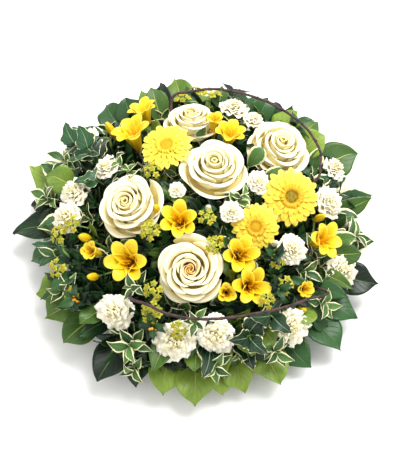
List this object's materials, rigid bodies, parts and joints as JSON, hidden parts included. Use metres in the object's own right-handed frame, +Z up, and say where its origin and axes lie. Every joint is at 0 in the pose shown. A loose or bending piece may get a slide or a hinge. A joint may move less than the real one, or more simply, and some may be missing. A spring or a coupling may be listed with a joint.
{
  "type": "funeral posy",
  "caption": "Round domed funeral posy of white roses, lemon gerberas, freesias, spray carnations and mixed foliage in foam on a dish, laid flat as a tribute.",
  "frame": {"origin": "centre of the dish's flat foot, on the plane that the posy lies on", "axes": "+Z up through the dome, -Y towards the side that the posy is seen from, +X to that viewer's right"},
  "size_m": [0.367, 0.3672, 0.1249],
  "materials": {
    "rose_petal": "soft matt petal, cream white with a green tinge at the base",
    "gerbera_petal": "soft matt petal, lemon to golden yellow",
    "freesia": "soft petal, golden yellow with an orange throat",
    "carnation": "thin ruffled petal, white",
    "bupleurum": "small bracts, yellow-green",
    "leaf_dark": "glossy leaf, dark green",
    "leaf_light": "satin leaf, light yellow-green",
    "leaf_variegated": "satin leaf, green with cream edges",
    "stem": "smooth green stem",
    "twig": "matt bark, dark purplish brown",
    "foam": "wet floral foam, dark green and fine-grained",
    "dish": "moulded plastic, dark green"
  },
  "bodies": {
    "root": {"bupleurum_back": "bupleurum", "bupleurum_front": "bupleurum", "bupleurum_inner": "bupleurum", "bupleurum_left": "bupleurum", "bupleurum_right": "bupleurum", "bupleurum_upper": "bupleurum", "carnation_back": "carnation", "carnation_back_left": "carnation", "carnation_centre": "carnation", "carnation_front": "carnation", "carnation_front_left": "carnation", "carnation_front_right": "carnation", "carnation_left": "carnation", "carnation_low": "carnation", "carnation_right": "carnation", "carnation_rim": "carnation", "carnation_top": "carnation", "dish": "dish", "foam": "foam", "freesia_back": "freesia", "freesia_back_left": "freesia", "freesia_centre": "freesia", "freesia_front": "freesia", "freesia_left": "freesia", "freesia_low": "freesia", "freesia_mid": "freesia", "freesia_right": "freesia", "gerbera_left_head": "gerbera_petal", "gerbera_left_stem": "stem", "gerbera_low_head": "gerbera_petal", "gerbera_low_stem": "stem", "gerbera_right_head": "gerbera_petal", "gerbera_right_stem": "stem", "leaf_dark_back_left": "leaf_dark", "leaf_dark_back_right": "leaf_dark", "leaf_dark_front_left": "leaf_dark", "leaf_dark_front_right": "leaf_dark", "leaf_dark_left": "leaf_dark", "leaf_dark_right": "leaf_dark", "leaf_dark_shoulder": "leaf_dark", "leaf_light_back": "leaf_light", "leaf_light_front": "leaf_light", "leaf_light_front_left": "leaf_light", "leaf_light_front_right": "leaf_light", "leaf_light_left": "leaf_light", "leaf_light_right": "leaf_light", "leaf_variegated_right": "leaf_variegated", "leaf_variegated_top": "leaf_variegated", "rose_back_head": "rose_petal", "rose_back_stem": "stem", "rose_front_head": "rose_petal", "rose_front_stem": "stem", "rose_left_head": "rose_petal", "rose_left_stem": "stem", "rose_right_head": "rose_petal", "rose_right_stem": "stem", "rose_top_head": "rose_petal", "rose_top_stem": "stem", "twig_back": "twig", "twig_front": "twig"}
  },
  "joints": []
}
